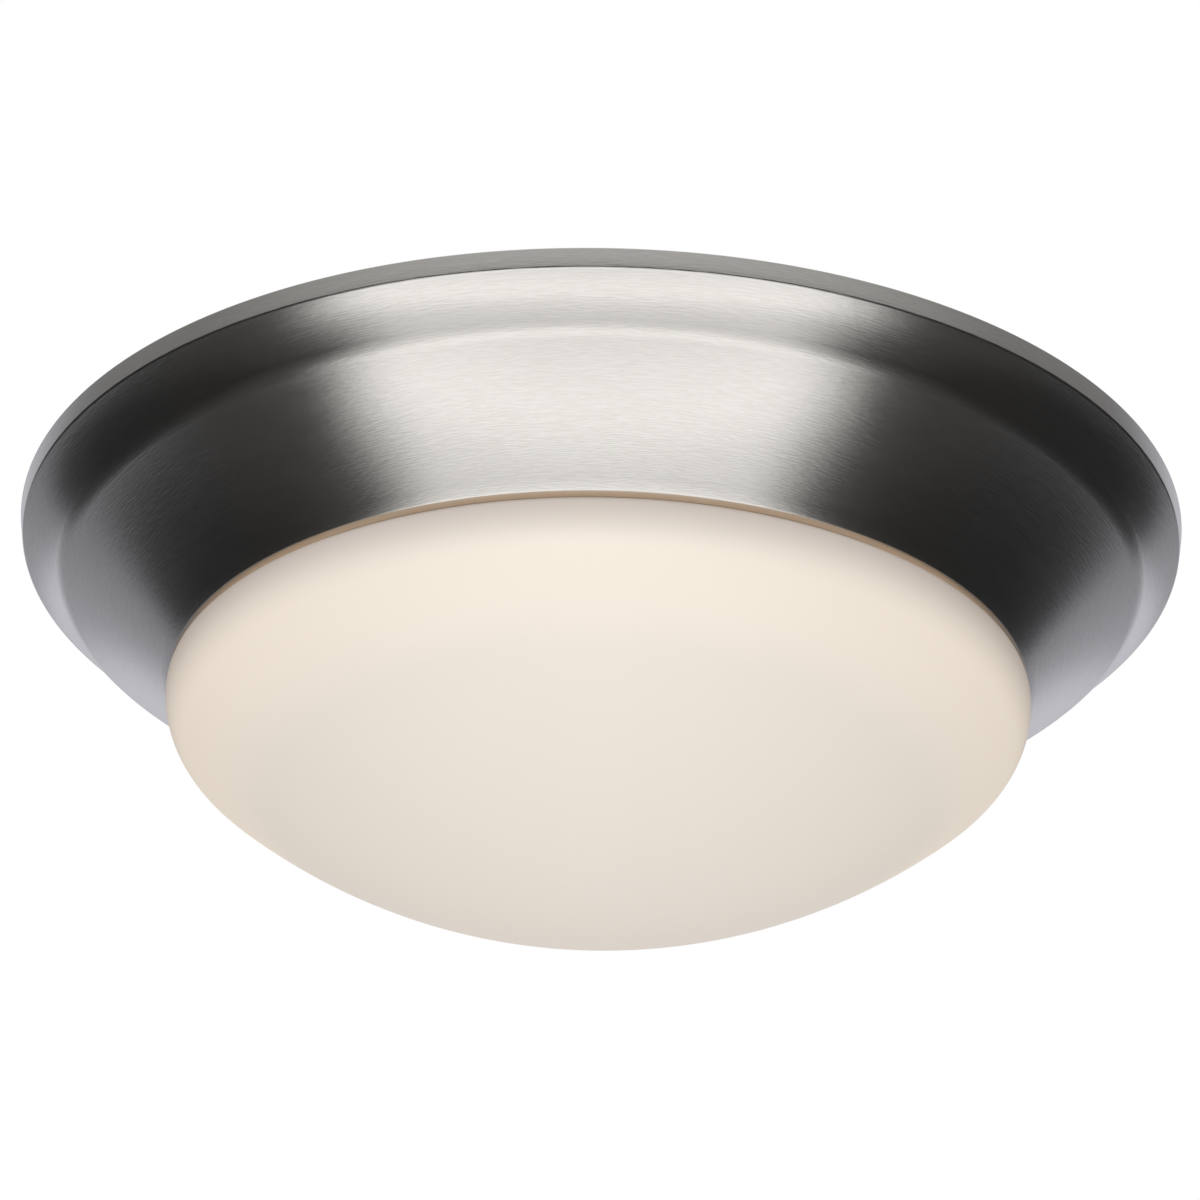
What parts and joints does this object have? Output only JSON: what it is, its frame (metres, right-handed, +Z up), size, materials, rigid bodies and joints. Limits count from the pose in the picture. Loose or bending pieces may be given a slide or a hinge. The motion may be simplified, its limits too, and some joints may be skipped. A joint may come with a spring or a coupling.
{
  "type": "flush mount ceiling light",
  "caption": "Round flush mount ceiling light with a spun two-tier brushed metal pan and a twist-lock frosted glass bowl over an LED tray.",
  "frame": {"origin": "centre of the ceiling plane, on the light's axis, in the upper face of the crossbar and of the pan's ceiling flange", "axes": "+Z up into the ceiling along the light's axis; +X along the crossbar; the driver lies towards -Y; the bowl hangs towards -Z"},
  "size_m": [0.3556, 0.3556, 0.1201],
  "materials": {
    "brushed_nickel": "spun steel, brushed nickel plated, fine hairlines around the axis",
    "frosted_glass": "white frosted glass, satin",
    "galvanised_steel": "zinc coated sheet, dull",
    "zinc_plated": "bright zinc plated screws",
    "rivet_aluminium": "plain",
    "white_enamel": "white powder coat, satin",
    "seal_rubber": "soft pale silicone",
    "black_nylon": "moulded",
    "white_nylon": "moulded",
    "terminal_brass": "plain",
    "ground_green": "green screw",
    "tinned_copper": "tinned",
    "driver_plastic": "moulded, satin",
    "driver_circuit": "green circuit board",
    "ferrite": "dark ferrite and tape",
    "can_aluminium": "sleeved cans",
    "led_circuit": "white solder resist on aluminium",
    "led_phosphor": "yellow phosphor in white packages",
    "thermal_grey": "soft pad",
    "lead_black": "insulation",
    "lead_white": "insulation",
    "lead_green": "insulation",
    "lead_red": "insulation"
  },
  "bodies": {
    "fixture": {"trim_pan": "brushed_nickel", "lock_ring": "galvanised_steel", "crossbar": "galvanised_steel", "fixture_screws": "zinc_plated", "back_plate": "galvanised_steel", "back_plate_rivets": "rivet_aluminium", "entry_bush": "black_nylon", "terminal_block": "white_nylon", "terminal_screws": "terminal_brass", "ground_screw": "ground_green", "ground_eye": "tinned_copper", "driver_case": "driver_plastic", "driver_lid": "driver_plastic", "driver_screws": "zinc_plated", "driver_board": "driver_circuit", "driver_transformer": "ferrite", "driver_capacitors": "can_aluminium", "led_tray": "white_enamel", "tray_screws": "zinc_plated", "thermal_pad": "thermal_grey", "led_board": "led_circuit", "led_chips": "led_phosphor", "board_screws": "zinc_plated", "board_connector": "white_nylon", "feed_grommet": "black_nylon", "live_lead": "lead_black", "neutral_lead": "lead_white", "ground_lead": "lead_green", "led_lead_plus": "lead_red", "led_lead_minus": "lead_black"},
    "seal": {"dust_seal": "seal_rubber"},
    "diffuser": {"glass_diffuser": "frosted_glass"}
  },
  "joints": [
    {"name": "diffuser_twist", "type": "hinge", "parent": "fixture", "child": "seal", "pos_m": [0, 0, 0], "axis": [0, 0, -1], "range_deg": [0, 30]},
    {"name": "diffuser_drop", "type": "slide", "parent": "seal", "child": "diffuser", "axis": [0, 0, -1], "range_m": [0, 0.08]}
  ]
}
